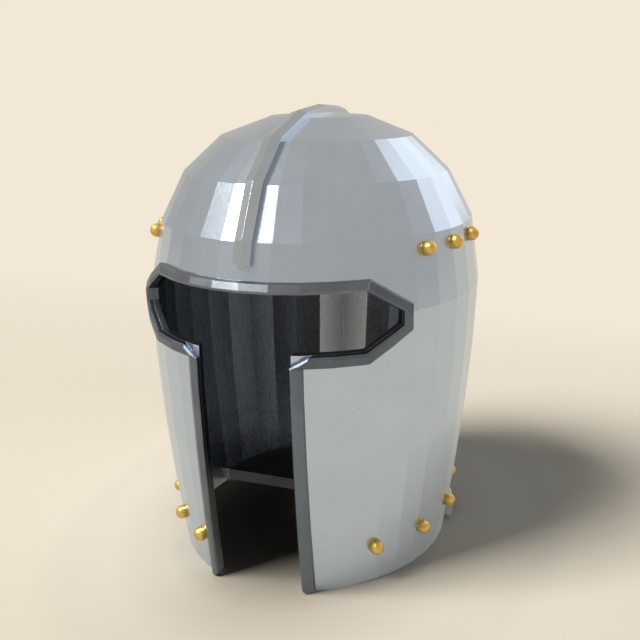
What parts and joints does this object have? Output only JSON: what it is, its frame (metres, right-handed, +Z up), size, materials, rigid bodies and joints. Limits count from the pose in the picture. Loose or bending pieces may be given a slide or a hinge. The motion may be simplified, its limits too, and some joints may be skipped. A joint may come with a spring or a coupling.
{
  "type": "barbute",
  "caption": "Steel barbute helmet with a T-shaped face opening, dark border, raised comb, brass rivets, leather lining and a flanged plate under the nape.",
  "frame": {"origin": "middle of the helmet's bounding box, on the surface that its rim stands on", "axes": "+Z up, -Y the way the face looks, +X the wearer's left"},
  "size_m": [0.2124, 0.2494, 0.2858],
  "materials": {
    "skull_steel": "polished, with soft wear",
    "comb_steel": "polished, with soft wear",
    "dark_steel": "blackened, worn bright at the edges",
    "brass": "hammered, slightly tarnished",
    "washer_brass": "dull",
    "lining_leather": "vegetable tanned, worn",
    "lace_leather": "waxed thong"
  },
  "bodies": {
    "root": {"skull_shell": "skull_steel", "comb": "comb_steel", "brow_border": "dark_steel", "left_eye_border": "dark_steel", "right_eye_border": "dark_steel", "left_cheek_border": "dark_steel", "right_cheek_border": "dark_steel", "brow_rivets": "brass", "brow_washers": "washer_brass", "lining_band": "lining_leather", "liner_tongue_1": "lining_leather", "liner_tongue_2": "lining_leather", "liner_tongue_3": "lining_leather", "liner_tongue_4": "lining_leather", "liner_tongue_5": "lining_leather", "liner_tongue_6": "lining_leather", "liner_tongue_7": "lining_leather", "liner_tongue_8": "lining_leather", "crown_lace": "lace_leather", "rim_rivets": "brass", "nape_bar": "dark_steel", "bar_pins": "dark_steel"}
  },
  "joints": []
}
